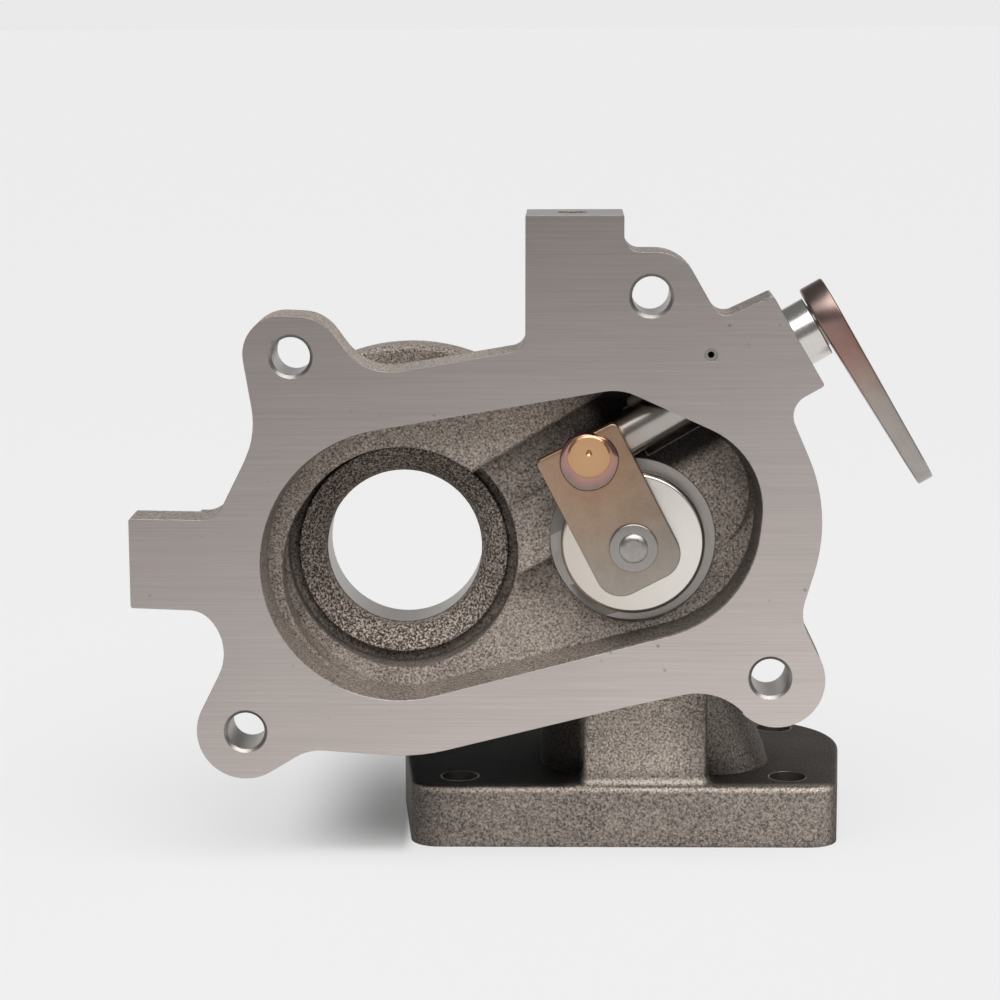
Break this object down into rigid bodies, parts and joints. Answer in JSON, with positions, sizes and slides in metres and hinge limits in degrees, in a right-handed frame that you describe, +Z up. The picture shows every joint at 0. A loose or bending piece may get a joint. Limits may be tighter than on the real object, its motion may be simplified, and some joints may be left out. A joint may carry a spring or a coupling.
{
  "type": "turbine housing",
  "caption": "Cast turbocharger turbine housing with scroll, inlet foot, outlet flange and an internal wastegate flap worked by an outer lever.",
  "frame": {"origin": "centre of the inlet foot's bolt pattern, on its gasket face", "axes": "+Z up from the foot, the outlet face looks along -Y and the centre housing face along +Y, +X towards the wastegate lever"},
  "size_m": [0.1858, 0.081, 0.1522],
  "materials": {
    "cast": "sand cast, outlet face ground",
    "bush": "turned",
    "pin": "rolled",
    "shaft": "ground",
    "weld": "heat tinted",
    "arm": "heat tinted plate",
    "valve": "polished",
    "washer": "turned",
    "lever": "heat tinted near the eye"
  },
  "bodies": {
    "housing": {"housing_casting": "cast", "wastegate_bush": "bush", "bush_lock_pin": "pin"},
    "crank": {"wastegate_shaft": "shaft", "shaft_arm_weld": "weld", "valve_arm": "arm", "actuator_lever": "lever", "lever_weld": "weld"},
    "valve": {"wastegate_valve": "valve", "valve_washer": "washer"}
  },
  "joints": [
    {"name": "wastegate_pivot", "type": "hinge", "parent": "housing", "child": "crank", "pos_m": [-0.0086, -0.0375, 0.0957], "axis": [-0.866, 0, -0.5], "range_deg": [0, 45]},
    {"name": "valve_spin", "type": "hinge", "parent": "crank", "child": "valve", "pos_m": [0.0017, -0.0443, 0.0756], "axis": [0, -1, 0], "continuous": true}
  ]
}
